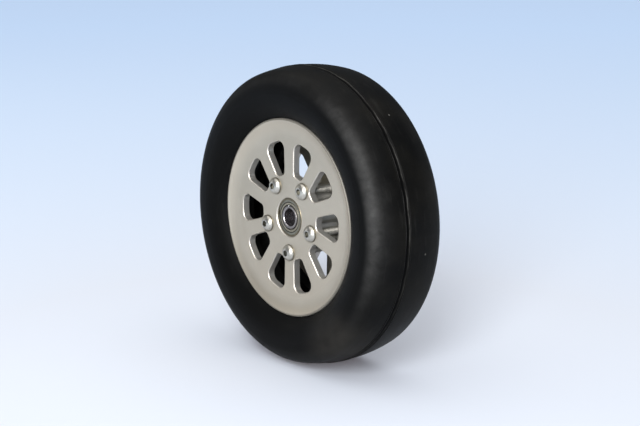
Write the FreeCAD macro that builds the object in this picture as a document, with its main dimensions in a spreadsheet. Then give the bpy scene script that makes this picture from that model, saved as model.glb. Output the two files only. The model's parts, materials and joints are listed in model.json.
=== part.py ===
"""Main wheel of a large model aircraft: a hollow rubber tyre clamped between two slotted hub halves.

The wheel spins about +Y on two shielded 6 x 13 x 5 mm ball bearings. Its origin is the wheel's centre,
the screw heads face -Y, and +Z is up. Every length is in millimetres and every angle in degrees.
"""

import FreeCAD, Part
import math
import os
import Sketcher

doc = FreeCAD.newDocument("aircraft_wheel")

# ---------------------------------------------------------------- driving dimensions

SIZES = [
    # tyre
    ("tyre_diameter", 100.5),
    ("tyre_width", 30.2),
    ("crown_radius", 45.0),
    ("shoulder_radius", 5.2),
    ("upper_wall_radius", 18.0),
    ("lower_wall_radius", 11.0),
    ("widest_radius", 41.5),
    ("tread_thickness", 5.6),
    ("wall_thickness", 4.2),
    ("bead_bore_radius", 28.8),
    ("bead_gap", 7.2),
    ("bead_wedge_width", 3.6),
    ("bead_wedge_rise", 0.9),
    ("wall_foot_drop", 3.5),
    ("wall_top_rise", 0.6),
    ("cavity_corner_width", 3.2),
    ("rim_gap", 0.25),
    # shallow channel round the tread, between two raised lips
    ("channel_place", 2.6),
    ("channel_width", 1.9),
    ("channel_depth", 0.3),
    ("lip_round", 0.34),
    ("lip_rise", 0.14),
    # hub halves
    ("hub_radius", 33.2),
    ("rim_height", 11.9),
    ("face_height", 10.45),
    ("disc_thickness", 2.5),
    ("dish_start_radius", 27.3),
    ("dish_round", 11.0),
    ("lip_width", 0.5),
    ("lip_drop", 0.4),
    ("rim_back_height", 9.7),
    ("cone_start_radius", 28.0),
    ("boss_radius", 8.1),
    ("boss_fillet", 0.6),
    ("hub_bore_radius", 5.5),
    # spoke slots
    ("slot_count", 10),
    ("slot_inner_radius", 14.2),
    ("slot_outer_radius", 25.6),
    ("slot_side_angle", 16.5),
    ("slot_side_offset", 2.05),
    ("slot_inner_corner", 1.85),
    ("slot_outer_corner", 2.65),
    ("slot_chamfer", 0.25),
    # clamp screws, M3 x 20 button heads
    ("screw_count", 5),
    ("screw_circle_radius", 12.0),
    ("screw_length", 20.0),
    ("screw_thread_radius", 1.48),
    ("screw_shank_radius", 1.3),
    ("screw_shank_length", 11.6),
    ("screw_head_radius", 2.85),
    ("screw_head_height", 1.65),
    ("screw_head_edge", 0.35),
    ("screw_top_radius", 1.35),
    ("screw_dome_radius", 2.6),
    ("screw_tip_chamfer", 0.4),
    ("socket_width", 2.0),
    ("socket_depth", 1.0),
    ("clearance_hole_radius", 1.6),
    ("tapped_hole_radius", 1.5),
    # bearings, 6 x 13 x 5
    ("bearing_bore_radius", 3.0),
    ("bearing_outer_radius", 6.5),
    ("bearing_width", 5.0),
    ("bearing_recess", 0.2),
    ("ring_chamfer", 0.15),
    ("seat_clearance", 0.01),
    ("seat_chamfer", 0.35),
    ("inner_ring_radius", 3.9),
    ("outer_ring_radius", 5.5),
    ("shield_mouth_radius", 5.85),
    ("shield_mouth_depth", 0.65),
    ("snap_groove_radius", 6.0),
    ("snap_groove_depth", 0.1),
    ("snap_groove_width", 0.3),
    ("ball_count", 8),
    ("ball_radius", 1.0),
    ("ball_circle_radius", 4.7),
    ("race_radius", 1.04),
    ("cage_inner_radius", 4.35),
    ("cage_outer_radius", 5.05),
    ("cage_back", 1.45),
    ("cage_front", 0.55),
    ("cage_pocket_radius", 1.07),
    ("shield_inner_radius", 4.1),
    ("shield_step_radius", 4.85),
    ("shield_flange_radius", 5.8),
    ("shield_thickness", 0.22),
    ("shield_step", 0.25),
    ("shield_bend", 0.08),
    ("shield_gap", 0.02),
    ("snap_ring_inner_radius", 5.2),
    ("snap_ring_outer_radius", 5.98),
    ("snap_ring_thickness", 0.26),
    ("snap_ring_angle", 342.0),
    # sleeve between the inner rings
    ("spacer_outer_radius", 3.9),
]

sheet = doc.addObject("Spreadsheet::Sheet", "Sizes")
for row, (alias, number) in enumerate(SIZES, start=1):
    sheet.set(f"A{row}", alias)
    sheet.set(f"B{row}", str(number))
    sheet.setAlias(f"B{row}", alias)
doc.recompute()

bodies = []


def value(expression):
    """Return what an expression in the sheet's names comes to."""
    return float(sheet.evalExpression(expression))


def linked(expression):
    """Write an expression in the sheet's names so that another object can use it."""
    words = []
    word = ""
    names = {alias for alias, _ in SIZES}
    for letter in expression + " ":
        if letter.isalnum() or letter == "_":
            word += letter
            continue
        words.append(f"Sizes.{word}" if word in names else word)
        words.append(letter)
        word = ""
    return "".join(words).strip()


# ---------------------------------------------------------------- sketch and feature helpers


def new_body(label):
    body = doc.addObject("PartDesign::Body", label)
    body.Label = label
    body.AllowCompound = True
    bodies.append(body)
    return body


def new_sketch(body, name, role):
    plane = next(f for f in body.Origin.OriginFeatures if f.Role == role)
    sketch = body.newObject("Sketcher::SketchObject", name)
    sketch.AttachmentSupport = (plane, [""])
    sketch.MapMode = "FlatFace"
    return sketch


def bind(sketch, constraint, name, expression):
    """Add one constraint whose datum follows the size sheet."""
    index = sketch.addConstraint(constraint)
    sketch.renameConstraint(index, name)
    sketch.setExpression(f"Constraints.{name}", linked(expression))


def arc_through(start, end, radius):
    """A circular arc from start to end: a positive radius turns left, a negative one turns right."""
    chord = FreeCAD.Vector(end[0] - start[0], end[1] - start[1], 0)
    middle = FreeCAD.Vector((start[0] + end[0]) / 2, (start[1] + end[1]) / 2, 0)
    height = math.sqrt(radius**2 - (chord.Length / 2) ** 2)
    left = FreeCAD.Vector(-chord.y, chord.x, 0).normalize()
    centre = middle + left * math.copysign(height, radius)
    first = math.atan2(start[1] - centre.y, start[0] - centre.x)
    last = math.atan2(end[1] - centre.y, end[0] - centre.x)
    if radius < 0:
        first, last = last, first
    circle = Part.Circle(centre, FreeCAD.Vector(0, 0, 1), abs(radius))
    return Part.ArcOfCircle(circle, first, last)


def closed_outline(sketch, corners):
    """Draw a closed outline through corners whose places and arc radii follow the size sheet.

    A corner is (across, along) or (across, along, radius): the radius, signed as in arc_through,
    bends the edge that leaves it.
    """
    places = [(value(c[0]), value(c[1])) for c in corners]
    starts, ends = [], []
    for i, corner in enumerate(corners):
        here, there = places[i], places[(i + 1) % len(corners)]
        if len(corner) == 2:
            line = Part.LineSegment(FreeCAD.Vector(*here, 0), FreeCAD.Vector(*there, 0))
            edge = sketch.addGeometry(line, False)
            starts.append((edge, 1))
            ends.append((edge, 2))
            continue
        radius = value(corner[2])
        edge = sketch.addGeometry(arc_through(here, there, radius), False)
        starts.append((edge, 1 if radius > 0 else 2))
        ends.append((edge, 2 if radius > 0 else 1))
        bind(sketch, Sketcher.Constraint("Radius", edge, abs(radius)), f"radius_{i}", f"abs({corner[2]})")
    for i, corner in enumerate(corners):
        sketch.addConstraint(Sketcher.Constraint("Coincident", *ends[i - 1], *starts[i]))
        across = Sketcher.Constraint("DistanceX", -1, 1, *starts[i], places[i][0])
        along = Sketcher.Constraint("DistanceY", -1, 1, *starts[i], places[i][1])
        bind(sketch, across, f"across_{i}", corner[0])
        bind(sketch, along, f"along_{i}", corner[1])


def turned(body, name, corners, angle="360"):
    """Revolve an outline of (radius, axial place) corners about the body's Y axis."""
    sketch = new_sketch(body, f"{name}_section", "XY_Plane")
    closed_outline(sketch, corners)
    turn = body.newObject("PartDesign::Revolution", name)
    turn.Profile = sketch
    turn.ReferenceAxis = (sketch, ["V_Axis"])
    turn.setExpression("Angle", linked(angle))
    doc.recompute()
    return turn


def ring_cords(body, kind, name, cords):
    """Add or cut rings of round section: each cord is (radius, axial place, section radius)."""
    sketch = new_sketch(body, f"{name}_section", "XY_Plane")
    for i, (across, along, section) in enumerate(cords):
        x, y, radius = value(across), value(along), value(section)
        circle = Part.Circle(FreeCAD.Vector(x, y, 0), FreeCAD.Vector(0, 0, 1), radius)
        edge = sketch.addGeometry(circle, False)
        bind(sketch, Sketcher.Constraint("Radius", edge, radius), f"section_{i}", section)
        bind(sketch, Sketcher.Constraint("DistanceX", -1, 1, edge, 3, x), f"across_{i}", across)
        bind(sketch, Sketcher.Constraint("DistanceY", -1, 1, edge, 3, y), f"along_{i}", along)
    ring = body.newObject(kind, name)
    ring.Profile = sketch
    ring.ReferenceAxis = (sketch, ["V_Axis"])
    ring.Angle = 360
    doc.recompute()
    return ring


def repeated(body, name, features, count):
    """Repeat features round the body's Y axis."""
    axis = next(f for f in body.Origin.OriginFeatures if f.Role == "Y_Axis")
    pattern = body.newObject("PartDesign::PolarPattern", name)
    pattern.Originals = features
    pattern.Axis = (axis, [""])
    pattern.Angle = 360
    pattern.setExpression("Occurrences", linked(count))
    body.Tip = pattern
    doc.recompute()
    return pattern


def must_cut(body, feature, before):
    """Stop if a feature left the body's volume as it was."""
    if not body.Shape.Volume < before - 1e-6:
        raise RuntimeError(f"{feature.Name} cut nothing from {body.Label}")


def mirror_flat(corners):
    """Complete a section that is symmetric about its middle plane."""
    other = []
    for i in range(len(corners) - 1, -1, -1):
        across, along = corners[i][:2]
        leaving = corners[i - 1] if i else ()
        other.append((across, f"-({along})") + tuple(leaving[2:]))
    return list(corners) + other


# ---------------------------------------------------------------- tyre


def tyre():
    """A hollow tyre with an open bore: flat crown, round shoulders, full walls and wedge-shaped beads."""
    body = new_body("tyre")
    sketch = new_sketch(body, "half_section", "XY_Plane")
    top = value("tyre_diameter / 2")
    half = value("tyre_width / 2")
    crown = value("crown_radius")
    shoulder = value("shoulder_radius")
    upper = value("upper_wall_radius")
    lower = value("lower_wall_radius")
    widest = value("widest_radius")
    heel = value("hub_radius + rim_gap")

    # Centres of the four tangent arcs, as (radius, axial) places.
    crown_centre = FreeCAD.Vector(top - crown, 0, 0)
    upper_centre = FreeCAD.Vector(widest, half - upper, 0)
    lower_centre = FreeCAD.Vector(widest, half - lower, 0)
    reach = upper_centre - crown_centre
    to_crown, to_upper = crown - shoulder, upper - shoulder
    along = (to_crown**2 - to_upper**2 + reach.Length**2) / (2 * reach.Length)
    aside = math.sqrt(to_crown**2 - along**2)
    unit = FreeCAD.Vector(reach).normalize()
    shoulder_centre = crown_centre + unit * along + FreeCAD.Vector(-unit.y, unit.x, 0) * aside
    if shoulder_centre.x < widest:
        shoulder_centre = crown_centre + unit * along - FreeCAD.Vector(-unit.y, unit.x, 0) * aside

    def bearing_of(centre, point):
        return math.atan2(point.y - centre.y, point.x - centre.x)

    def add_arc(centre, radius, first, last):
        circle = Part.Circle(centre, FreeCAD.Vector(0, 0, 1), radius)
        return sketch.addGeometry(Part.ArcOfCircle(circle, first, last), False)

    crown_end = bearing_of(crown_centre, shoulder_centre)
    shoulder_end = bearing_of(upper_centre, shoulder_centre)
    heel_height = lower_centre.y + math.sqrt(lower**2 - (heel - widest) ** 2)
    heel_end = bearing_of(lower_centre, FreeCAD.Vector(heel, heel_height, 0))
    crown_arc = add_arc(crown_centre, crown, 0, crown_end)
    shoulder_arc = add_arc(shoulder_centre, shoulder, crown_end, shoulder_end)
    upper_arc = add_arc(upper_centre, upper, shoulder_end, math.pi / 2)
    lower_arc = add_arc(lower_centre, lower, math.pi / 2, heel_end)

    # The bead and the cavity, from the heel at the rim's edge round to the inside of the tread.
    cone_slope = "(rim_back_height - face_height + disc_thickness) / (hub_radius - cone_start_radius)"
    bead_height = f"face_height - disc_thickness + (bead_bore_radius - cone_start_radius) * {cone_slope}"
    cavity_top = "tyre_diameter / 2 - tread_thickness"
    cavity_side = "tyre_width / 2 - wall_thickness"
    inside = [
        ("hub_radius + rim_gap", f"rim_back_height + rim_gap * {cone_slope}"),
        ("bead_bore_radius", bead_height),
        ("bead_bore_radius", "bead_gap / 2"),
        ("bead_bore_radius + bead_wedge_width", "bead_gap / 2 + bead_wedge_rise"),
        ("widest_radius - wall_foot_drop", cavity_side),
        ("widest_radius + wall_top_rise", cavity_side),
        (cavity_top, f"{cavity_side} - cavity_corner_width"),
        (cavity_top, "0"),
    ]
    places = [FreeCAD.Vector(value(a), value(b), 0) for a, b in inside]
    heel_point = FreeCAD.Vector(heel, heel_height, 0)
    path = [heel_point] + places + [FreeCAD.Vector(top, 0, 0)]
    lines = [sketch.addGeometry(Part.LineSegment(a, b), False) for a, b in zip(path, path[1:])]

    for first, second in ((crown_arc, shoulder_arc), (shoulder_arc, upper_arc), (upper_arc, lower_arc)):
        sketch.addConstraint(Sketcher.Constraint("Tangent", first, 2, second, 1))
    sketch.addConstraint(Sketcher.Constraint("PointOnObject", crown_arc, 3, -1))
    bind(sketch, Sketcher.Constraint("Radius", crown_arc, crown), "crown", "crown_radius")
    bind(sketch, Sketcher.Constraint("Radius", shoulder_arc, shoulder), "shoulder", "shoulder_radius")
    bind(sketch, Sketcher.Constraint("Radius", upper_arc, upper), "upper", "upper_wall_radius")
    bind(sketch, Sketcher.Constraint("Radius", lower_arc, lower), "lower", "lower_wall_radius")
    bind(sketch, Sketcher.Constraint("DistanceX", -1, 1, crown_arc, 1, top), "top", "tyre_diameter / 2")
    bind(sketch, Sketcher.Constraint("DistanceX", -1, 1, upper_arc, 2, widest), "widest", "widest_radius")
    bind(sketch, Sketcher.Constraint("DistanceY", -1, 1, upper_arc, 2, half), "half_width", "tyre_width / 2")
    sketch.addConstraint(Sketcher.Constraint("Vertical", upper_arc, 3, upper_arc, 2))
    bind(sketch, Sketcher.Constraint("DistanceX", -1, 1, lower_arc, 2, heel), "heel", "hub_radius + rim_gap")
    sketch.addConstraint(Sketcher.Constraint("Coincident", lower_arc, 2, lines[0], 1))
    sketch.addConstraint(Sketcher.Constraint("Coincident", lines[-1], 2, crown_arc, 1))
    sketch.addConstraint(Sketcher.Constraint("PointOnObject", crown_arc, 1, -1))
    for i, (across, height) in enumerate(inside):
        sketch.addConstraint(Sketcher.Constraint("Coincident", lines[i], 2, lines[i + 1], 1))
        place = places[i]
        bind(sketch, Sketcher.Constraint("DistanceX", -1, 1, lines[i], 2, place.x), f"inside_x{i}", across)
        bind(sketch, Sketcher.Constraint("DistanceY", -1, 1, lines[i], 2, place.y), f"inside_y{i}", height)

    half_tyre = body.newObject("PartDesign::Revolution", "half_tyre")
    half_tyre.Profile = sketch
    half_tyre.ReferenceAxis = (sketch, ["V_Axis"])
    half_tyre.Angle = 360
    doc.recompute()
    mirrored = body.newObject("PartDesign::Mirrored", "whole_tyre")
    mirrored.Originals = [half_tyre]
    mirrored.MirrorPlane = (next(f for f in body.Origin.OriginFeatures if f.Role == "XZ_Plane"), [""])
    body.Tip = mirrored
    doc.recompute()

    def crown_at(place):
        """Radius of the crown's surface at an axial place."""
        return f"tyre_diameter / 2 - crown_radius + sqrt(crown_radius * crown_radius - pow({place}; 2))"

    lips = []
    for side in ("+", "-"):
        place = f"channel_place {side} (channel_width + lip_round) / 2"
        lips.append((f"{crown_at(place)} + lip_rise - lip_round", f"-({place})", "lip_round"))
    ring_cords(body, "PartDesign::Revolution", "channel_lips", lips)
    before = body.Shape.Volume
    nose = "(channel_depth * channel_depth + channel_width * channel_width / 4) / (2 * channel_depth)"
    centre = f"{crown_at('channel_place')} - channel_depth + {nose}"
    channel = ring_cords(body, "PartDesign::Groove", "channel", [(centre, "-channel_place", nose)])
    must_cut(body, channel, before)


# ---------------------------------------------------------------- hub halves


def slot_sketch(body):
    """The outline of one spoke slot: nearly radial sides, concentric ends and four round corners."""
    sketch = new_sketch(body, "slot_outline", "XZ_Plane")
    inner, outer = value("slot_inner_radius"), value("slot_outer_radius")
    small, large = value("slot_inner_corner"), value("slot_outer_corner")
    angle, offset = math.radians(value("slot_side_angle")), value("slot_side_offset")
    ray = FreeCAD.Vector(math.cos(angle), math.sin(angle), 0)
    inward = FreeCAD.Vector(math.sin(angle), -math.cos(angle), 0)

    def corner(radius, reach):
        """Centre of a corner arc that touches the side and a concentric end, and its touching points."""
        travel = math.sqrt(reach**2 - (offset + radius) ** 2)
        centre = ray * travel + inward * (offset + radius)
        end_radius = outer if reach < outer and reach > inner + small + 1e-6 else inner
        return centre, ray * travel + inward * offset, centre * (end_radius / reach)

    def flip(point):
        return FreeCAD.Vector(point.x, -point.y, 0)

    def arc(centre, start, end, radius):
        circle = Part.Circle(centre, FreeCAD.Vector(0, 0, 1), radius)
        first = math.atan2(start.y - centre.y, start.x - centre.x)
        last = math.atan2(end.y - centre.y, end.x - centre.x)
        return sketch.addGeometry(Part.ArcOfCircle(circle, first, last), False)

    origin = FreeCAD.Vector(0, 0, 0)
    near, near_side, near_end = corner(small, inner + small)
    far, far_side, far_end = corner(large, outer - large)
    outer_end = arc(origin, flip(far_end), far_end, outer)
    upper_far = arc(far, far_end, far_side, large)
    upper_side = sketch.addGeometry(Part.LineSegment(far_side, near_side), False)
    upper_near = arc(near, near_side, near_end, small)
    inner_end = arc(origin, flip(near_end), near_end, inner)
    lower_near = arc(flip(near), flip(near_end), flip(near_side), small)
    lower_side = sketch.addGeometry(Part.LineSegment(flip(near_side), flip(far_side)), False)
    lower_far = arc(flip(far), flip(far_side), flip(far_end), large)

    joints = [
        (outer_end, 2, upper_far, 1),
        (upper_far, 2, upper_side, 1),
        (upper_side, 2, upper_near, 1),
        (upper_near, 2, inner_end, 2),
        (inner_end, 1, lower_near, 1),
        (lower_near, 2, lower_side, 1),
        (lower_side, 2, lower_far, 1),
        (lower_far, 2, outer_end, 1),
    ]
    for joint in joints:
        sketch.addConstraint(Sketcher.Constraint("Tangent", *joint))
    for end_arc in (outer_end, inner_end):
        sketch.addConstraint(Sketcher.Constraint("Coincident", end_arc, 3, -1, 1))
    sketch.addConstraint(Sketcher.Constraint("Equal", upper_far, lower_far))
    sketch.addConstraint(Sketcher.Constraint("Equal", upper_near, lower_near))
    bind(sketch, Sketcher.Constraint("Radius", outer_end, outer), "outer_end", "slot_outer_radius")
    bind(sketch, Sketcher.Constraint("Radius", inner_end, inner), "inner_end", "slot_inner_radius")
    bind(sketch, Sketcher.Constraint("Radius", upper_far, large), "outer_corner", "slot_outer_corner")
    bind(sketch, Sketcher.Constraint("Radius", upper_near, small), "inner_corner", "slot_inner_corner")
    upper_tilt = Sketcher.Constraint("Angle", -1, 1, upper_side, 2, angle)
    lower_tilt = Sketcher.Constraint("Angle", lower_side, 1, -1, 1, angle)
    bind(sketch, upper_tilt, "upper_tilt", "slot_side_angle * 1 deg")
    bind(sketch, lower_tilt, "lower_tilt", "slot_side_angle * 1 deg")
    upper_off = Sketcher.Constraint("Distance", -1, 1, upper_side, offset)
    lower_off = Sketcher.Constraint("Distance", -1, 1, lower_side, offset)
    bind(sketch, upper_off, "upper_offset", "slot_side_offset")
    bind(sketch, lower_off, "lower_offset", "slot_side_offset")
    return sketch


def hub_half(label, hole_radius):
    """A turned disc with a central boss, ten chamfered slots and five screw holes, face towards +Y."""
    body = new_body(label)
    seat_floor = "face_height - bearing_recess - bearing_width"
    seat_radius = "bearing_outer_radius + seat_clearance"
    section = [
        ("hub_bore_radius", "0"),
        ("boss_radius", "0"),
        ("boss_radius", "face_height - disc_thickness - boss_fillet", "-boss_fillet"),
        ("boss_radius + boss_fillet", "face_height - disc_thickness"),
        ("cone_start_radius", "face_height - disc_thickness"),
        ("hub_radius", "rim_back_height"),
        ("hub_radius", "rim_height - lip_drop", "lip_width"),
        ("hub_radius - lip_width", "rim_height", "-dish_round"),
        ("dish_start_radius", "face_height"),
        (f"{seat_radius} + seat_chamfer", "face_height"),
        (seat_radius, "face_height - seat_chamfer"),
        (seat_radius, seat_floor),
        ("hub_bore_radius", seat_floor),
    ]
    turned(body, "turned_disc", section)

    before = body.Shape.Volume
    slot = body.newObject("PartDesign::Pocket", "slot")
    slot.Profile = slot_sketch(body)
    slot.Type = "ThroughAll"
    slot.Midplane = True
    doc.recompute()
    must_cut(body, slot, before)
    slots = repeated(body, "slots", [slot], "slot_count")

    face = value("face_height")
    inner, outer = value("slot_inner_radius") - 0.1, value("slot_outer_radius") + 0.1
    rims = []
    for i, edge in enumerate(slots.Shape.Edges, start=1):
        points = edge.discretize(5)
        level = all(abs(p.y - face) < 1e-4 for p in points)
        reach = [math.hypot(p.x, p.z) for p in points]
        if level and inner < min(reach) and max(reach) < outer:
            rims.append(f"Edge{i}")
    before = body.Shape.Volume
    bevel = body.newObject("PartDesign::Chamfer", "slot_bevels")
    bevel.Base = (slots, rims)
    bevel.setExpression("Size", linked("slot_chamfer"))
    doc.recompute()
    must_cut(body, bevel, before)

    before = body.Shape.Volume
    hole_sketch = new_sketch(body, "screw_hole_outline", "XZ_Plane")
    place = value("screw_circle_radius")
    circle = Part.Circle(FreeCAD.Vector(0, -place, 0), FreeCAD.Vector(0, 0, 1), value(hole_radius))
    hole_edge = hole_sketch.addGeometry(circle, False)
    hole_sketch.addConstraint(Sketcher.Constraint("PointOnObject", hole_edge, 3, -2))
    across = Sketcher.Constraint("DistanceY", hole_edge, 3, -1, 1, place)
    bind(hole_sketch, across, "circle_radius", "screw_circle_radius")
    bind(hole_sketch, Sketcher.Constraint("Radius", hole_edge, value(hole_radius)), "hole", hole_radius)
    hole = body.newObject("PartDesign::Pocket", "screw_hole")
    hole.Profile = hole_sketch
    hole.Type = "ThroughAll"
    hole.Midplane = True
    doc.recompute()
    must_cut(body, hole, before)
    repeated(body, "screw_holes", [hole], "screw_count")
    return body


# ---------------------------------------------------------------- clamp screws


def clamp_screws():
    """Five button-head screws with hexagon sockets, as one group of separate solids."""
    body = new_body("clamp_screws")
    sketch = new_sketch(body, "screw_section", "XY_Plane")
    centre = "screw_circle_radius"
    under = "-face_height"
    top = "-face_height - screw_head_height"
    tip = "-face_height + screw_length"
    step = "-face_height + screw_shank_length"
    closed_outline(
        sketch,
        [
            (centre, top),
            (f"{centre} + screw_top_radius", top, "screw_dome_radius"),
            (f"{centre} + screw_head_radius", f"{under} - screw_head_edge"),
            (f"{centre} + screw_head_radius", under),
            (f"{centre} + screw_shank_radius", under),
            (f"{centre} + screw_shank_radius", step),
            (f"{centre} + screw_thread_radius", f"{step} + screw_thread_radius - screw_shank_radius"),
            (f"{centre} + screw_thread_radius", f"{tip} - screw_tip_chamfer"),
            (f"{centre} + screw_thread_radius - screw_tip_chamfer", tip),
            (centre, tip),
        ],
    )
    pitch = value(centre)
    low, high = value(top), value(tip)
    axis_line = Part.LineSegment(FreeCAD.Vector(pitch, low, 0), FreeCAD.Vector(pitch, high, 0))
    axis = sketch.addGeometry(axis_line, True)
    sketch.addConstraint(Sketcher.Constraint("Vertical", axis))
    bind(sketch, Sketcher.Constraint("DistanceX", -1, 1, axis, 1, pitch), "axis_place", centre)
    screw = body.newObject("PartDesign::Revolution", "screw")
    screw.Profile = sketch
    screw.ReferenceAxis = (sketch, ["Axis0"])
    screw.Angle = 360
    doc.recompute()

    before = body.Shape.Volume
    socket_sketch = new_sketch(body, "socket_outline", "XZ_Plane")
    socket_sketch.setExpression("AttachmentOffset.Base.z", linked("face_height + screw_head_height"))
    half = value("socket_width") / 2
    tips = [
        FreeCAD.Vector(
            pitch + half / math.cos(math.pi / 6) * math.cos(math.radians(60 * k)),
            half / math.cos(math.pi / 6) * math.sin(math.radians(60 * k)),
            0,
        )
        for k in range(6)
    ]
    sides = [
        socket_sketch.addGeometry(Part.LineSegment(tips[k], tips[(k + 1) % 6]), False) for k in range(6)
    ]
    guide = Part.Circle(FreeCAD.Vector(pitch, 0, 0), FreeCAD.Vector(0, 0, 1), half)
    guide_edge = socket_sketch.addGeometry(guide, True)
    for k, side in enumerate(sides):
        socket_sketch.addConstraint(Sketcher.Constraint("Coincident", side, 2, sides[(k + 1) % 6], 1))
        socket_sketch.addConstraint(Sketcher.Constraint("Tangent", side, guide_edge))
    for side in sides[1:]:
        socket_sketch.addConstraint(Sketcher.Constraint("Equal", side, sides[0]))
    socket_sketch.addConstraint(Sketcher.Constraint("PointOnObject", guide_edge, 3, -1))
    socket_sketch.addConstraint(Sketcher.Constraint("PointOnObject", sides[0], 1, -1))
    place = Sketcher.Constraint("DistanceX", -1, 1, guide_edge, 3, pitch)
    bind(socket_sketch, place, "place", centre)
    bind(socket_sketch, Sketcher.Constraint("Radius", guide_edge, half), "flat", "socket_width / 2")
    socket = body.newObject("PartDesign::Pocket", "socket")
    socket.Profile = socket_sketch
    socket.setExpression("Length", linked("socket_depth"))
    doc.recompute()
    must_cut(body, socket, before)
    repeated(body, "screws", [screw, socket], "screw_count")
    quarter_turn = FreeCAD.Rotation(FreeCAD.Vector(0, 1, 0), 90)
    body.Placement = FreeCAD.Placement(FreeCAD.Vector(0, 0, 0), quarter_turn)


# ---------------------------------------------------------------- bearings


def outer_ring(label):
    """The ring that turns with the hub, with a race groove and a shield mouth in both faces."""
    body = new_body(label)
    face = "bearing_width / 2"
    groove = f"{face} - snap_groove_depth"
    race = "sqrt(race_radius * race_radius - pow(outer_ring_radius - ball_circle_radius; 2))"
    half = [
        ("outer_ring_radius", race),
        ("outer_ring_radius", f"{face} - shield_mouth_depth"),
        ("shield_mouth_radius", f"{face} - shield_mouth_depth"),
        ("shield_mouth_radius", f"{groove} - snap_groove_width"),
        ("snap_groove_radius", f"{groove} - snap_groove_width"),
        ("snap_groove_radius", groove),
        ("shield_mouth_radius", groove),
        ("shield_mouth_radius", face),
        ("bearing_outer_radius - ring_chamfer", face),
        ("bearing_outer_radius", f"{face} - ring_chamfer"),
    ]
    section = mirror_flat(half)
    section[-1] = section[-1][:2] + ("race_radius",)
    turned(body, "ring", section)
    return body


def inner_ring(label):
    """The ring that stands still on the axle, with a race groove round it."""
    body = new_body(label)
    face = "bearing_width / 2"
    race = "sqrt(race_radius * race_radius - pow(ball_circle_radius - inner_ring_radius; 2))"
    half = [
        ("inner_ring_radius", race),
        ("inner_ring_radius", f"{face} - ring_chamfer"),
        ("inner_ring_radius - ring_chamfer", face),
        ("bearing_bore_radius + ring_chamfer", face),
        ("bearing_bore_radius", f"{face} - ring_chamfer"),
    ]
    section = mirror_flat(half)
    section[-1] = section[-1][:2] + ("-race_radius",)
    turned(body, "ring", section)
    return body


def ball_set(label):
    """The balls of one bearing, as one group of separate solids."""
    body = new_body(label)
    ball = body.newObject("PartDesign::AdditiveSphere", "ball")
    ball.setExpression("Radius", linked("ball_radius"))
    ball.setExpression("Placement.Base.x", linked("ball_circle_radius"))
    doc.recompute()
    repeated(body, "balls", [ball], "ball_count")
    return body


def cage(label):
    """A crown cage: a ring behind the balls whose fingers reach between them."""
    body = new_body(label)
    section = [
        ("cage_inner_radius", "-cage_back"),
        ("cage_outer_radius", "-cage_back"),
        ("cage_outer_radius", "cage_front"),
        ("cage_inner_radius", "cage_front"),
    ]
    turned(body, "crown", section)
    before = body.Shape.Volume
    pocket_sketch = new_sketch(body, "pocket_outline", "YZ_Plane")
    radius = value("cage_pocket_radius")
    circle = Part.Circle(FreeCAD.Vector(0, 0, 0), FreeCAD.Vector(0, 0, 1), radius)
    edge = pocket_sketch.addGeometry(circle, False)
    pocket_sketch.addConstraint(Sketcher.Constraint("Coincident", edge, 3, -1, 1))
    bind(pocket_sketch, Sketcher.Constraint("Radius", edge, radius), "pocket", "cage_pocket_radius")
    pocket = body.newObject("PartDesign::Pocket", "ball_pocket")
    pocket.Profile = pocket_sketch
    pocket.Reversed = True
    pocket.setExpression("Length", linked("cage_outer_radius + ball_radius"))
    doc.recompute()
    must_cut(body, pocket, before)
    repeated(body, "ball_pockets", [pocket], "ball_count")
    return body


def shield(label):
    """A pressed shield: a flat inner zone that stands proud, a step, and a flange under the snap ring."""
    body = new_body(label)
    back = "bearing_width / 2 - shield_mouth_depth + shield_gap"
    section = [
        ("shield_inner_radius", f"{back} + shield_step"),
        ("shield_step_radius - shield_bend", f"{back} + shield_step"),
        ("shield_step_radius + shield_bend", back),
        ("shield_flange_radius", back),
        ("shield_flange_radius", f"{back} + shield_thickness"),
        ("shield_step_radius + 2.5 * shield_bend", f"{back} + shield_thickness"),
        ("shield_step_radius + shield_bend / 2", f"{back} + shield_thickness + shield_step"),
        ("shield_inner_radius", f"{back} + shield_thickness + shield_step"),
    ]
    turned(body, "pressing", section)
    return body


def snap_ring(label):
    """A split ring of flat wire that springs into the outer ring's groove and holds the shield."""
    body = new_body(label)
    middle = "bearing_width / 2 - snap_groove_depth - snap_groove_width / 2"
    section = [
        ("snap_ring_inner_radius", f"{middle} - snap_ring_thickness / 2"),
        ("snap_ring_outer_radius", f"{middle} - snap_ring_thickness / 2"),
        ("snap_ring_outer_radius", f"{middle} + snap_ring_thickness / 2"),
        ("snap_ring_inner_radius", f"{middle} + snap_ring_thickness / 2"),
    ]
    turned(body, "flat_wire", section, "snap_ring_angle")
    return body


def bearing(side, outward):
    """One shielded bearing, on the side of the wheel where outward is +1 for +Y and -1 for -Y."""
    centre = "face_height - bearing_recess - bearing_width / 2"
    half_turn = FreeCAD.Rotation(FreeCAD.Vector(0, 0, 1), 180)
    straight = FreeCAD.Rotation()
    facing = [
        outer_ring(f"{side}_bearing_outer_ring"),
        inner_ring(f"{side}_bearing_inner_ring"),
        ball_set(f"{side}_bearing_balls"),
        cage(f"{side}_bearing_cage"),
        shield(f"{side}_bearing_outer_shield"),
        snap_ring(f"{side}_bearing_outer_snap_ring"),
    ]
    turned_in = [
        shield(f"{side}_bearing_inner_shield"),
        snap_ring(f"{side}_bearing_inner_snap_ring"),
    ]
    for pieces, direction in ((facing, outward), (turned_in, -outward)):
        for body in pieces:
            rotation = straight if direction > 0 else half_turn
            body.Placement = FreeCAD.Placement(FreeCAD.Vector(0, 0, 0), rotation)
            sign = "" if outward > 0 else "-"
            body.setExpression("Placement.Base.y", linked(f"{sign}({centre})"))


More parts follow.
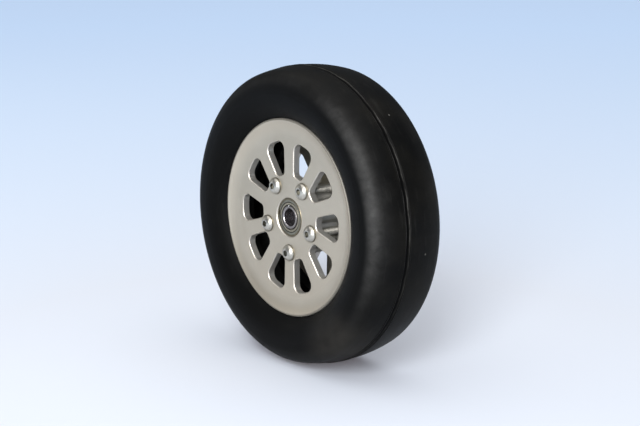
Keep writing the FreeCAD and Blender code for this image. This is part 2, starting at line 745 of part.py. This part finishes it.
def bearing_spacer():
    """The sleeve that keeps the two inner rings apart."""
    body = new_body("bearing_spacer")
    half = "face_height - bearing_recess - bearing_width"
    section = [
        ("bearing_bore_radius", f"-({half})"),
        ("spacer_outer_radius", f"-({half})"),
        ("spacer_outer_radius", half),
        ("bearing_bore_radius", half),
    ]
    turned(body, "sleeve", section)


# ---------------------------------------------------------------- the whole wheel

tyre()
hub_half("hub_rear", "tapped_hole_radius")
front = hub_half("hub_front", "clearance_hole_radius")
front.Placement = FreeCAD.Placement(FreeCAD.Vector(0, 0, 0), FreeCAD.Rotation(FreeCAD.Vector(0, 0, 1), 180))
clamp_screws()
bearing("front", -1)
bearing("rear", 1)
bearing_spacer()
doc.recompute()

for item in doc.Objects:
    if "Invalid" in item.State or "Error" in item.State:
        raise RuntimeError(f"{item.Label} failed: {item.State}")
for body in bodies:
    if body.Shape.isNull() or not body.Shape.isValid():
        raise RuntimeError(f"{body.Label} has no valid shape")

os.makedirs("parts", exist_ok=True)
for body in bodies:
    body.Shape.exportStep(os.path.join("parts", f"{body.Label}.step"))
    box = body.Shape.BoundBox
    print(body.Label, len(body.Shape.Solids), round(body.Shape.Volume, 2),
          [round(n, 2) for n in (box.XLength, box.YLength, box.ZLength)])
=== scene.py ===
"""An aircraft wheel: slotted alloy hub discs clamping a smooth black tyre, on shielded ball bearings."""

import json
import math
from functools import cached_property

import bpy
from mathutils import Matrix, Vector


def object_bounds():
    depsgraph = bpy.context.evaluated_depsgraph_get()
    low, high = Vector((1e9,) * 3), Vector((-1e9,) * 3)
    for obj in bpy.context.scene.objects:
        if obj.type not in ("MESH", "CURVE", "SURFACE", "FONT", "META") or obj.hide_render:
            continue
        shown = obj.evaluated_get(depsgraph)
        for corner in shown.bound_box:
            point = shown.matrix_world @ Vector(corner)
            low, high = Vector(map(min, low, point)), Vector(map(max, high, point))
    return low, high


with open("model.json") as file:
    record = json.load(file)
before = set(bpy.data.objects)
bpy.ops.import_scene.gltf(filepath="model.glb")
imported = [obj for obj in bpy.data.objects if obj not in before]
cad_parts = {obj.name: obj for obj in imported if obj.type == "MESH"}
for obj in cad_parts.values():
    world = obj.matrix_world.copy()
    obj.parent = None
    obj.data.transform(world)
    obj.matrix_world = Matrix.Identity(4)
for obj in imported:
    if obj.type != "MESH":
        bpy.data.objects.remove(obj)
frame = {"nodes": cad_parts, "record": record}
cad_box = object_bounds()
nodes = frame["nodes"]


# ---------------------------------------------------------------- sizes and places
# Metres in the part's own frame: the axle line is Y, the front of the wheel faces -Y and Z is up.
# An "edge" is the pair of distances between which one look gives way to another.

MM = 0.001


def mm(*lengths):
    """Millimetres as metres."""
    return tuple(length * MM for length in lengths)


# hub
HUB_RADIUS = 33.2 * MM
RIM_FACE_Y = -11.9 * MM
RIM_LIP_EDGE = mm(32.45, 32.65)
HUB_INSIDE_EDGE = mm(7.9, 8.1)

# screws
SCREW_CIRCLE = 12.0 * MM
SCREW_STEP = 2 * math.pi / 5
FIRST_SCREW_TURN = -math.pi / 2
HEAD_TOP_Y = -12.1 * MM
HEAD_RIM_EDGE = mm(2.45, 2.85)
HEAD_RIM_DEPTHS = mm(0.9, 1.3)
SOCKET_EDGE = mm(1.10, 1.22)
SOCKET_MOUTH_DEPTHS = mm(0.04, 0.45)
SOCKET_FLOOR_DEPTHS = mm(1.2, 1.4)
SHANK_START_Y = -8.2 * MM
THREAD_RUN_IN = 0.5 * MM
THREAD_PITCH = 0.5 * MM

# bearings: dark lines are pairs of radius and half width
BORE_EDGE = mm(3.05, 3.15)
INNER_RING_EDGE = mm(3.95, 4.1)
RING_LINES = (mm(5.35, 0.28), mm(3.95, 0.252))
SHIELD_LINES = (mm(5.1, 0.28), mm(4.15, 0.28))

# tyre
TREAD_EDGE = mm(46.2, 49.6)
CHANNEL_Y = -2.65 * MM
# the painted shade in the channel spreads this far each side of its middle
CHANNEL_SHADE_HALF_WIDTH = 0.85 * MM
PALE_LINE_OFFSET = 0.75 * MM
PALE_LINE_HALF_WIDTH = 0.26 * MM
PALE_LINE_HEIGHTS = mm(-22.0, 4.0)
CHANNEL_SWAY = 0.8 * MM
# the band round both shoulders that holds the bloom and the painted sheen
BLOOM_AND_SHEEN_REACH = 46.7 * MM
BLOOM_AND_SHEEN_HALF_WIDTH = 3.4 * MM
# the painted sheen is strongest at this point and fades out between these distances from it
PAINTED_SHEEN_CENTRE = mm(43.0, -12.5, 16.5)
PAINTED_SHEEN_EDGE = mm(12.0, 42.0)
SPECKS = (mm(34.2, 3.2, 36.7), mm(49.6, 5.3, -6.1))
SPECK_EDGE = mm(0.15, 0.45)
DUST_CENTRE = mm(28.0, -13.0, -37.5)
DUST_EDGE = mm(2.0, 17.0)

# ---------------------------------------------------------------- looks
# A colour is linear red, green and blue. A pair of shades is the clean colour and the smudged one.

SMUDGE_EDGE = (0.35, 0.7)

RUBBER_GLOSS = 0.05
RUBBER_BLACK = (0.0030, 0.0030, 0.0029)
RUBBER_DUSTY = (0.0068, 0.0063, 0.0052)
RUBBER_SCUFF = (0.016, 0.0155, 0.014)
# grey bloom and painted sheen on the shoulders
RUBBER_BLOOM_AND_SHEEN = (0.054, 0.0525, 0.050)
# painted shade in the tread channel
CHANNEL_PAINTED_SHADE = (0.0006, 0.0006, 0.0006)
PALE_LINE = (0.060, 0.058, 0.053)
SPECK_GREY = (0.11, 0.105, 0.095)
DUST = (0.027, 0.0245, 0.021)

ALLOY_FACE_SHADES = ((0.492, 0.432, 0.340), (0.535, 0.473, 0.378))
ALLOY_GRAIN = (0.43, 0.40, 0.345)
ALLOY_CUT = (0.62, 0.60, 0.56)
# painted shade between the discs
ALLOY_INSIDE_PAINTED_SHADE = (0.215, 0.205, 0.165)
# painted shade on the outer lip
ALLOY_LIP_PAINTED_SHADE = (0.20, 0.185, 0.155)

SCREW_SHADES = ((0.58, 0.55, 0.485), (0.41, 0.39, 0.34))
# painted shade round the foot of each screw head
SCREW_RIM_PAINTED_SHADE = (0.12, 0.115, 0.09)
# painted shade in each screw's hex socket
SCREW_SOCKET_PAINTED_SHADE = (0.15, 0.148, 0.13)

RING_SHADES = ((0.205, 0.172, 0.115), (0.115, 0.096, 0.062))
SHIELD_SHADES = ((0.36, 0.32, 0.24), (0.23, 0.20, 0.145))
INNER_RING = (0.29, 0.265, 0.26)
BORE = (0.56, 0.53, 0.54)
BEARING_DIRT = (0.02, 0.018, 0.014)
BORE_ROUGHNESS = 0.08

SPRING_SHADES = ((0.26, 0.245, 0.19), (0.18, 0.165, 0.13))
BALL_SHADES = ((0.82, 0.82, 0.83), (0.76, 0.76, 0.78))
SPACER_SHADES = ((0.55, 0.52, 0.52), (0.42, 0.40, 0.40))
NYLON_SHADES = ((0.70, 0.64, 0.48), (0.78, 0.72, 0.57))

FLOOR_NEAR = (0.62, 0.665, 0.735)
FLOOR_FAR = (0.69, 0.85, 1.0)
GLOW_NEAR = (0.08, 0.07, 0.075)
GLOW_FAR = (0.02, 0.04, 0.14)
WARM_LIGHT = (1.0, 0.99, 0.97)
WINDOW_LIGHT = (0.985, 0.99, 1.0)
SKY_LIGHT = (0.78, 0.87, 1.0)


# ---------------------------------------------------------------- node trees


class Shader:
    """A material under construction, with short calls for the nodes that the materials share.

    Wherever a call takes a value, that is a socket, a number or a colour.
    """

    def __init__(self, name):
        self.material = bpy.data.materials.new(name)
        self.material.use_nodes = True
        self.tree = self.material.node_tree
        self.bsdf = self.tree.nodes["Principled BSDF"]
        coordinates = self.node("ShaderNodeTexCoord")
        self.place = coordinates.outputs["Object"]
        self.facing = coordinates.outputs["Normal"]
        self.x, self.y, self.z = self.split(self.place)

    @cached_property
    def reach(self):
        """The distance of the shaded point from the axle line."""
        return self.length(self.x, self.z)

    @cached_property
    def turn(self):
        """The angle of the shaded point about the axle line, in radians from +X towards +Z."""
        return self.math("ARCTAN2", self.z, self.x)

    def node(self, kind, **settings):
        made = self.tree.nodes.new(kind)
        for key, value in settings.items():
            setattr(made, key, value)
        return made

    def feed(self, socket, value):
        if isinstance(value, bpy.types.NodeSocket):
            self.tree.links.new(value, socket)
        elif socket.type == "RGBA":
            socket.default_value = (*value, 1.0)
        else:
            socket.default_value = value

    def set(self, **values):
        """Feeds sockets of the Principled shader, by their names with underscores for spaces."""
        for key, value in values.items():
            self.feed(self.bsdf.inputs[key.replace("_", " ")], value)

    def split(self, vector):
        made = self.node("ShaderNodeSeparateXYZ")
        self.feed(made.inputs["Vector"], vector)
        return tuple(made.outputs)

    def math(self, operation, *values):
        made = self.node("ShaderNodeMath", operation=operation)
        for socket, value in zip(made.inputs, values):
            self.feed(socket, value)
        return made.outputs["Value"]

    def plus(self, first, second):
        return self.math("ADD", first, second)

    def minus(self, first, second):
        return self.math("SUBTRACT", first, second)

    def times(self, first, *others):
        for other in others:
            first = self.math("MULTIPLY", first, other)
        return first

    def over(self, first, second):
        return self.math("DIVIDE", first, second)

    def length(self, one, other):
        """The length of a line that goes one along and other across."""
        return self.math("SQRT", self.plus(self.times(one, one), self.times(other, other)))

    def far_from(self, point):
        """The distance of the shaded point from a fixed one."""
        made = self.node("ShaderNodeVectorMath", operation="DISTANCE")
        self.feed(made.inputs[0], self.place)
        self.feed(made.inputs[1], point)
        return made.outputs["Value"]

    def ramp(self, value, edge, results=(0.0, 1.0), smooth=False):
        """The first result up to the start of the edge, the second past its end, and a slope between."""
        kind = "SMOOTHSTEP" if smooth else "LINEAR"
        made = self.node("ShaderNodeMapRange", interpolation_type=kind)
        self.feed(made.inputs["Value"], value)
        for key, number in zip(("From Min", "From Max", "To Min", "To Max"), (*edge, *results)):
            self.feed(made.inputs[key], number)
        return made.outputs["Result"]

    def fade(self, value, edge):
        """1 up to the start of the edge, falling gently to 0 at its end."""
        return self.ramp(value, edge, (1.0, 0.0), smooth=True)

    def band(self, value, middle, half_width):
        """1 where the value is at the middle, falling to 0 at half_width each side."""
        return self.fade(self.math("ABSOLUTE", self.minus(value, middle)), (0.0, half_width))

    def blend(self, factor, first, second):
        """The first colour where the factor is 0, the second where it is 1."""
        made = self.node("ShaderNodeMix", data_type="RGBA")
        sockets = {socket.identifier: socket for socket in (*made.inputs, *made.outputs)}
        self.feed(sockets["Factor_Float"], factor)
        self.feed(sockets["A_Color"], first)
        self.feed(sockets["B_Color"], second)
        return sockets["Result_Color"]

    def noise(self, scale, detail=2.0, roughness=0.5, at=None):
        """A cloudy value round about 0.5, by place or by the texture vector given."""
        made = self.node("ShaderNodeTexNoise")
        self.feed(made.inputs["Vector"], at or self.place)
        for key, number in (("Scale", scale), ("Detail", detail), ("Roughness", roughness)):
            self.feed(made.inputs[key], number)
        return made.outputs["Fac"]

    def swept_noise(self, around, along, out, detail=2.0, roughness=0.5):
        """Noise with its own scale round the axle line, along it and out from it."""
        made = self.node("ShaderNodeCombineXYZ")
        self.feed(made.inputs["X"], self.times(self.turn, around))
        self.feed(made.inputs["Y"], self.times(self.y, along))
        self.feed(made.inputs["Z"], self.times(self.reach, out))
        return self.noise(1.0, detail, roughness, at=made.outputs["Vector"])

    def bump(self, height, distance, strength, normal=None):
        made = self.node("ShaderNodeBump")
        for key, value in (("Height", height), ("Distance", distance), ("Strength", strength)):
            self.feed(made.inputs[key], value)
        if normal is not None:
            self.feed(made.inputs["Normal"], normal)
        return made.outputs["Normal"]


# ---------------------------------------------------------------- tyre


def shoulder_bloom_and_sheen(s, patches):
    """A faint grey bloom along both shoulders, with a painted sheen where it is strongest, on one side of
    the front.
    """
    mottle = s.swept_noise(around=16.0, along=260.0, out=260.0, detail=4.0, roughness=0.65)
    bloom_and_sheen = s.times(s.band(s.reach, BLOOM_AND_SHEEN_REACH, BLOOM_AND_SHEEN_HALF_WIDTH),
                    s.ramp(patches, (0.30, 0.65), (0.6, 1.0)),
                    s.ramp(mottle, (0.32, 0.66), (0.6, 1.08)))
    # the painted sheen: full near one point on the front shoulder, only a faint bloom elsewhere
    strength = s.ramp(s.far_from(PAINTED_SHEEN_CENTRE), PAINTED_SHEEN_EDGE, (1.0, 0.14), smooth=True)
    return s.times(bloom_and_sheen, strength)


def tread_channel(s, tread):
    """Two masks: the painted shade in the channel round the tread, and broken pale lines just inside its
    lips.
    """
    wander = s.minus(s.swept_noise(around=9.0, along=0.0, out=0.0), 0.5)
    wavy = s.plus(s.y, s.times(wander, CHANNEL_SWAY))
    channel = s.times(s.band(wavy, CHANNEL_Y, CHANNEL_SHADE_HALF_WIDTH), tread)
    front_line = s.band(wavy, CHANNEL_Y - PALE_LINE_OFFSET, PALE_LINE_HALF_WIDTH)
    rear_line = s.band(wavy, CHANNEL_Y + PALE_LINE_OFFSET, PALE_LINE_HALF_WIDTH)
    breaks = s.swept_noise(around=7.0, along=60.0, out=0.0, detail=3.0, roughness=0.6)
    rubbed = s.times(s.ramp(breaks, (0.40, 0.62), (0.1, 1.0)),
                     s.ramp(s.z, PALE_LINE_HEIGHTS, (0.25, 1.0)))
    return channel, s.times(s.plus(front_line, rear_line), rubbed, tread)


def rubber():
    """Dull black rubber: scuffed on the tread, and less so on the walls, with bloom and a painted sheen on
    the shoulders, specks and dust.
    """
    s = Shader("dull_black_rubber")
    patches = s.noise(70.0, detail=4.0, roughness=0.55)
    grain = s.noise(2600.0, detail=3.0, roughness=0.6)
    rubbed = s.swept_noise(around=5.0, along=500.0, out=500.0, detail=4.0, roughness=0.6)
    tread = s.ramp(s.reach, TREAD_EDGE, smooth=True)
    channel, pale_lines = tread_channel(s, tread)

    dusty_tread = s.times(tread, s.ramp(patches, (0.40, 0.70)))
    colour = s.blend(dusty_tread, RUBBER_BLACK, RUBBER_DUSTY)
    scuffs = s.times(s.ramp(rubbed, (0.56, 0.74)), s.ramp(tread, (0.0, 1.0), (0.25, 1.0)), 0.5)
    colour = s.blend(scuffs, colour, RUBBER_SCUFF)
    # the shoulders' bloom and painted sheen
    colour = s.blend(shoulder_bloom_and_sheen(s, patches), colour, RUBBER_BLOOM_AND_SHEEN)
    # painted shade in the channel's recess
    colour = s.blend(channel, colour, CHANNEL_PAINTED_SHADE)
    colour = s.blend(s.times(pale_lines, 0.85), colour, PALE_LINE)
    for speck in SPECKS:
        colour = s.blend(s.fade(s.far_from(speck), SPECK_EDGE), colour, SPECK_GREY)
    near_dust = s.fade(s.far_from(DUST_CENTRE), DUST_EDGE)
    dust = s.times(near_dust, s.ramp(patches, (0.35, 0.65), (0.35, 1.0)), 0.85)
    s.set(Base_Color=s.blend(dust, colour, DUST))

    rough = s.ramp(s.plus(patches, s.times(rubbed, 0.5)), (0.45, 1.05), (0.40, 0.54))
    s.set(Roughness=s.plus(rough, s.times(channel, 0.3)), Specular_IOR_Level=RUBBER_GLOSS)
    fine = s.bump(grain, 0.05 * MM, 0.5)
    s.set(Normal=s.bump(rubbed, 0.06 * MM, 0.5, fine))
    return s.material


# ---------------------------------------------------------------- hub and screws


def alloy():
    """Blasted warm alloy, with cooler cut walls and bevels, painted shade on the faces between the discs
    and on the outer lip.
    """
    s = Shader("matt_warm_alloy")
    cloud = s.noise(55.0, detail=3.0)
    grain = s.noise(5200.0, roughness=0.6)
    turned_lines = s.swept_noise(around=0.8, along=2500.0, out=2500.0)
    squareness = s.math("ABSOLUTE", s.split(s.facing)[1])

    skin = s.blend(s.ramp(cloud, (0.35, 0.65)), *ALLOY_FACE_SHADES)
    skin = s.blend(s.ramp(grain, (0.3, 0.7), (0.0, 0.25)), skin, ALLOY_GRAIN)
    skin = s.blend(s.ramp(squareness, (0.50, 0.93), (0.85, 0.0)), skin, ALLOY_CUT)
    # painted shade on the faces between the discs, where little light reaches
    between_discs = s.ramp(s.math("ABSOLUTE", s.y), HUB_INSIDE_EDGE, (1.0, 0.0))
    inside = s.times(between_discs, s.ramp(squareness, (0.4, 0.8), (0.3, 1.0)), 0.85)
    skin = s.blend(inside, skin, ALLOY_INSIDE_PAINTED_SHADE)
    # the outer lip: painted shade in its colour, which also dims its edge highlight, and a rougher finish
    lip = s.ramp(s.reach, RIM_LIP_EDGE)
    s.set(Base_Color=s.blend(s.times(lip, 0.75), skin, ALLOY_LIP_PAINTED_SHADE), Metallic=0.85)

    rough = s.ramp(s.plus(grain, s.times(turned_lines, 0.6)), (0.5, 1.1), (0.36, 0.48))
    s.set(Roughness=s.plus(rough, s.times(lip, 0.25)))
    fine = s.bump(grain, 0.03 * MM, 0.5)
    s.set(Normal=s.bump(turned_lines, 0.02 * MM, 0.4, fine))
    return s.material


def nearest_screw(s):
    """The distance of the shaded point from the axis of the nearest screw, and its turn about that axis."""
    steps = s.plus(s.over(s.minus(s.turn, FIRST_SCREW_TURN), SCREW_STEP), 0.5)
    turn_from_screw = s.times(s.minus(s.math("FRACT", steps), 0.5), SCREW_STEP)
    out = s.minus(s.times(s.reach, s.math("COSINE", turn_from_screw)), SCREW_CIRCLE)
    aside = s.times(s.reach, s.math("SINE", turn_from_screw))
    return s.length(out, aside), s.math("ARCTAN2", aside, out)


def screw_steel():
    """Bright steel, with painted shade round each head's rim and in its socket, and a thread on its shank.
    """
    s = Shader("bright_screw_steel")
    from_axis, around = nearest_screw(s)
    depth = s.minus(s.y, HEAD_TOP_Y)
    smudges = s.noise(900.0, detail=3.0, roughness=0.55)

    colour = s.blend(s.ramp(smudges, SMUDGE_EDGE), *SCREW_SHADES)
    # painted shade round the foot of each head, where it meets the disc
    rim = s.times(s.ramp(from_axis, HEAD_RIM_EDGE, (0.0, 0.75), smooth=True),
                  s.ramp(depth, HEAD_RIM_DEPTHS, smooth=True))
    colour = s.blend(rim, colour, SCREW_RIM_PAINTED_SHADE)
    # painted shade inside each hex socket
    socket_shade = s.times(s.fade(from_axis, SOCKET_EDGE),
                        s.ramp(depth, SOCKET_MOUTH_DEPTHS, smooth=True),
                        s.ramp(depth, SOCKET_FLOOR_DEPTHS, (1.0, 0.0)), 0.85)
    s.set(Base_Color=s.blend(socket_shade, colour, SCREW_SOCKET_PAINTED_SHADE))

    threaded = s.ramp(s.y, (SHANK_START_Y, SHANK_START_Y + THREAD_RUN_IN))
    s.set(Metallic=s.ramp(threaded, (0.0, 1.0), (1.0, 0.8)))
    s.set(Roughness=s.plus(s.ramp(smudges, (0.3, 0.7), (0.27, 0.38)), s.times(threaded, 0.2)))
    pitches = s.minus(s.over(s.y, THREAD_PITCH), s.over(around, 2 * math.pi))
    ridge = s.times(s.math("PINGPONG", pitches, 0.5), 2.0)
    s.set(Normal=s.bump(s.times(ridge, threaded), 0.2 * MM, 1.0))
    return s.material


# ---------------------------------------------------------------- bearings and sleeve


def scratch(s, smudges, roughness_range):
    """Sets fine turned scratches, and returns a roughness that follows them and the smudges."""
    scratches = s.swept_noise(around=1.5, along=4000.0, out=4000.0, roughness=0.55)
    s.set(Normal=s.bump(scratches, 0.015 * MM, 0.5))
    return s.ramp(s.plus(smudges, s.times(scratches, 0.5)), (0.45, 1.0), roughness_range)


def steel(name, shades, roughness_range):
    """Plain turned metal for the springs, the balls and the sleeve between the bearings."""
    s = Shader(name)
    smudges = s.noise(420.0, detail=3.0, roughness=0.55)
    s.set(Base_Color=s.blend(s.ramp(smudges, SMUDGE_EDGE), *shades), Metallic=1.0)
    s.set(Roughness=scratch(s, smudges, roughness_range))
    return s.material


def ring_steel(name, shades, dark_lines, roughness_range):
    """Ground steel, dark along the lines where the pieces of a bearing meet, and polished in the bore."""
    s = Shader(name)
    smudges = s.noise(1500.0, detail=3.0, roughness=0.6)
    colour = s.blend(s.ramp(smudges, SMUDGE_EDGE), *shades)
    colour = s.blend(s.times(s.ramp(s.reach, INNER_RING_EDGE, (1.0, 0.0)), 0.75), colour, INNER_RING)
    for radius, half_width in dark_lines:
        colour = s.blend(s.times(s.band(s.reach, radius, half_width), 0.95), colour, BEARING_DIRT)
    in_bore = s.ramp(s.reach, BORE_EDGE, (1.0, 0.0))
    s.set(Base_Color=s.blend(in_bore, colour, BORE), Metallic=0.97)
    polish = s.times(in_bore, roughness_range[0] - BORE_ROUGHNESS)
    s.set(Roughness=s.minus(scratch(s, smudges, roughness_range), polish))
    return s.material


def nylon():
    """Natural cream nylon for the ball cages."""
    s = Shader("natural_nylon")
    grain = s.noise(3000.0)
    s.set(Base_Color=s.blend(grain, *NYLON_SHADES))
    s.set(Roughness=s.ramp(grain, (0.3, 0.7), (0.42, 0.55)))
    s.set(Normal=s.bump(grain, 0.03 * MM, 0.4))
    return s.material


finishes = {
    "tyre": rubber(),
    "hub_metal": alloy(),
    "screw_steel": screw_steel(),
    "bearing_steel": ring_steel("ground_ring_steel", RING_SHADES, RING_LINES, (0.30, 0.46)),
    "shield_steel": ring_steel("satin_shield_steel", SHIELD_SHADES, SHIELD_LINES, (0.32, 0.48)),
    "spring_steel": steel("satin_spring_steel", SPRING_SHADES, (0.30, 0.45)),
    "ball_steel": steel("polished_ball_steel", BALL_SHADES, (0.05, 0.12)),
    "cage_plastic": nylon(),
    "spacer_metal": steel("turned_spacer_alloy", SPACER_SHADES, (0.10, 0.18)),
}
for part in frame["record"]["subparts"]:
    mesh = nodes[part["node"]].data
    mesh.materials.clear()
    mesh.materials.append(finishes[part["material_slot"]])


# ---------------------------------------------------------------- camera

# how far the camera is round from the front and above level, in radians
CAMERA_TURN = 0.88808
CAMERA_RISE = 0.19646
CAMERA_DISTANCE = 15.0 * HUB_RADIUS
# the rim's centre lies this far to the left of the middle of the picture, and this far below it
RIM_LEFT = 0.34507 * HUB_RADIUS
RIM_BELOW = 0.05027 * HUB_RADIUS
# focal length and sensor width in millimetres
LENS = 84.43
SENSOR = 36.0
CLIP = (0.01, 100.0)


def outward(turn, rise):
    """The unit vector from the wheel to a viewpoint round from the front and above level, in radians."""
    return Vector((math.sin(turn) * math.cos(rise), -math.cos(turn) * math.cos(rise), math.sin(rise)))


def show(name, data):
    """Puts a camera, lamp or mesh into the scene as an object."""
    made = bpy.data.objects.new(name, data)
    bpy.context.scene.collection.objects.link(made)
    return made


def look():
    """Places the camera to the right of the front, looking a little down on the wheel."""
    right = Vector((math.cos(CAMERA_TURN), math.sin(CAMERA_TURN), 0))
    back = outward(CAMERA_TURN, CAMERA_RISE)
    up = back.cross(right)
    camera = show("camera", bpy.data.cameras.new("camera"))
    camera.data.lens = LENS
    camera.data.sensor_width = SENSOR
    camera.data.clip_start, camera.data.clip_end = CLIP
    rim_centre = Vector((0, RIM_FACE_Y, 0))
    place = rim_centre + back * CAMERA_DISTANCE + right * RIM_LEFT + up * RIM_BELOW
    axes = Matrix((right, up, back)).transposed().to_4x4()
    camera.matrix_world = Matrix.Translation(place) @ axes
    bpy.context.scene.camera = camera


look()


# ---------------------------------------------------------------- floor and light

FLOOR_RADIUS = 12.0
FLOOR_RINGS = 24
FLOOR_SPOKES = 64
# the floor goes from its near colour to its far one between these distances, by their logarithms
FLOOR_EDGE = (0.13, 1.58)
LOG_MARGIN = 0.02


def backdrop():
    """A pale matt floor, bluer with distance, which glows faintly as a lit backdrop does."""
    s = Shader("pale_floor")
    away = s.math("LOGARITHM", s.plus(s.length(s.x, s.y), LOG_MARGIN), 10.0)
    far = s.ramp(away, tuple(math.log10(distance + LOG_MARGIN) for distance in FLOOR_EDGE))
    s.set(Base_Color=s.blend(far, FLOOR_NEAR, FLOOR_FAR))
    s.set(Emission_Color=s.blend(far, GLOW_NEAR, GLOW_FAR))
    s.set(Emission_Strength=1.0, Roughness=0.9, Specular_IOR_Level=0.1)
    return s.material


def floor():
    """A disc of rings round one middle point, at the lowest height of the wheel."""
    lowest = cad_box[0].z
    verts = [(0, 0, lowest)]
    for ring in range(1, FLOOR_RINGS + 1):
        reach = FLOOR_RADIUS * (ring / FLOOR_RINGS) ** 2
        for spoke in range(FLOOR_SPOKES):
            angle = 2 * math.pi * spoke / FLOOR_SPOKES
            verts.append((reach * math.cos(angle), reach * math.sin(angle), lowest))
    pairs = [(1 + spoke, 1 + (spoke + 1) % FLOOR_SPOKES) for spoke in range(FLOOR_SPOKES)]
    faces = [(0, one, following) for one, following in pairs]
    for ring in range(FLOOR_RINGS - 1):
        inner, outer = ring * FLOOR_SPOKES, (ring + 1) * FLOOR_SPOKES
        faces += [(one + inner, one + outer, following + outer, following + inner)
                  for one, following in pairs]
    mesh = bpy.data.meshes.new("floor")
    mesh.from_pydata(verts, [], faces)
    mesh.materials.append(backdrop())
    made = show("floor", mesh)


def lamp(name, turn, rise, distance, size, power, colour):
    """A soft rectangular lamp that faces the wheel, turn and rise degrees round from the front and up."""
    data = bpy.data.lights.new(name, "AREA")
    data.shape = "RECTANGLE"
    data.size, data.size_y = size
    data.energy = power
    data.color = colour
    made = show(name, data)
    toward = outward(math.radians(turn), math.radians(rise))
    made.location = toward * distance
    made.rotation_mode = "QUATERNION"
    made.rotation_quaternion = (-toward).to_track_quat("-Z", "Y")


def daylight(strength, spread, colour):
    """Soft light from straight above, spread over so many degrees of the sky."""
    data = bpy.data.lights.new("daylight", "SUN")
    data.energy = strength
    data.angle = math.radians(spread)
    data.color = colour
    show("daylight", data)


def sky(strength, colour):
    """Even light from all round."""
    world = bpy.data.worlds.new("studio")
    bpy.context.scene.world = world
    world.use_nodes = True
    background = world.node_tree.nodes["Background"]
    background.inputs["Color"].default_value = (*colour, 1.0)
    background.inputs["Strength"].default_value = strength


floor()
daylight(strength=1.75, spread=80.0, colour=WARM_LIGHT)
lamp("window", turn=38.0, rise=24.0, distance=1.25, size=(0.42, 0.95), power=21.0, colour=WINDOW_LIGHT)
lamp("front_card", turn=-62.0, rise=16.0, distance=1.1, size=(0.7, 0.5), power=0.8, colour=WARM_LIGHT)
sky(strength=0.2, colour=SKY_LIGHT)
bpy.context.scene.view_settings.view_transform = "Standard"
